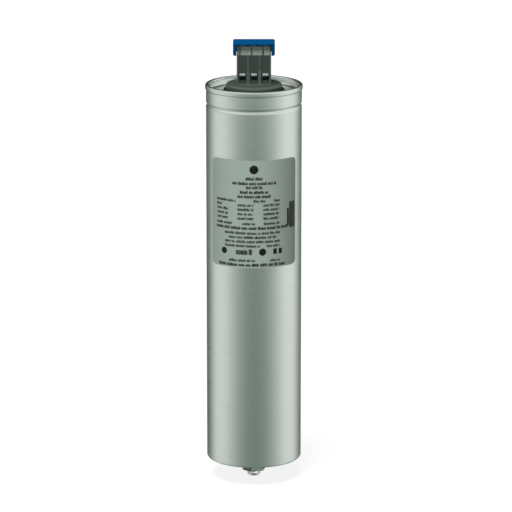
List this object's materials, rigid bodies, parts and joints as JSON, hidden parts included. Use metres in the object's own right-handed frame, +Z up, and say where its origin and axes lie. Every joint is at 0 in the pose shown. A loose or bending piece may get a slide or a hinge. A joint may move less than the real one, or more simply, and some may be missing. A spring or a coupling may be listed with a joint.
{
  "type": "power factor correction capacitor",
  "caption": "Tall cylindrical power capacitor: aluminium can with a mounting stud below, and a clamp terminal with a blue discharge-resistor module on top.",
  "frame": {"origin": "middle of the can's flat bottom, which bears on the panel", "axes": "+Z up the can towards the terminal, -Y towards the side with the cable openings and the label"},
  "size_m": [0.0866, 0.0866, 0.3997],
  "materials": {
    "can_aluminium": "brushed satin",
    "lid_aluminium": "satin",
    "black_rubber": "matt",
    "grey_nylon": "moulded, fine grain",
    "tinned_copper": "tinned",
    "zinc_plated_steel": "zinc plated",
    "ceramic": "matt ceramic",
    "blue_plastic": "moulded, satin",
    "metallised_film": "wound film",
    "sprayed_zinc": "rough sprayed metal",
    "core_plastic": "extruded tube",
    "insulator_plastic": "moulded",
    "wrap_film": "clear film",
    "wire_sleeve": "insulated wire",
    "bare_copper": "bare copper",
    "dark_steel": "phosphated",
    "label_film": "silver-grey film"
  },
  "bodies": {
    "root": {"bottom_insulator": "insulator_plastic", "can": "can_aluminium", "clamp_cage_1": "dark_steel", "clamp_cage_2": "dark_steel", "clamp_cage_3": "dark_steel", "clamp_screw_1": "zinc_plated_steel", "clamp_screw_2": "zinc_plated_steel", "clamp_screw_3": "zinc_plated_steel", "contact_strip_1": "tinned_copper", "contact_strip_2": "tinned_copper", "contact_strip_3": "tinned_copper", "core_link": "bare_copper", "core_tube_1": "core_plastic", "core_tube_2": "core_plastic", "core_tube_3": "core_plastic", "end_spray_1_high": "sprayed_zinc", "end_spray_1_low": "sprayed_zinc", "end_spray_2_high": "sprayed_zinc", "end_spray_2_low": "sprayed_zinc", "end_spray_3_high": "sprayed_zinc", "end_spray_3_low": "sprayed_zinc", "film_jacket": "wrap_film", "film_roll_1": "metallised_film", "film_roll_2": "metallised_film", "film_roll_3": "metallised_film", "hex_nut": "dark_steel", "inner_lead_1": "wire_sleeve", "inner_lead_2": "wire_sleeve", "inner_lead_3": "wire_sleeve", "lead_holder": "insulator_plastic", "lid": "lid_aluminium", "lock_washer": "dark_steel", "rating_label": "label_film", "resistor_block": "ceramic", "resistor_hood": "blue_plastic", "resistor_lead_1": "tinned_copper", "resistor_lead_2": "tinned_copper", "resistor_lead_3": "tinned_copper", "seam_gasket": "black_rubber", "spacer_ring_1": "insulator_plastic", "spacer_ring_2": "insulator_plastic", "terminal_block": "grey_nylon", "terminal_ring": "insulator_plastic", "terminal_seal": "black_rubber", "top_insulator": "insulator_plastic"}
  },
  "joints": []
}
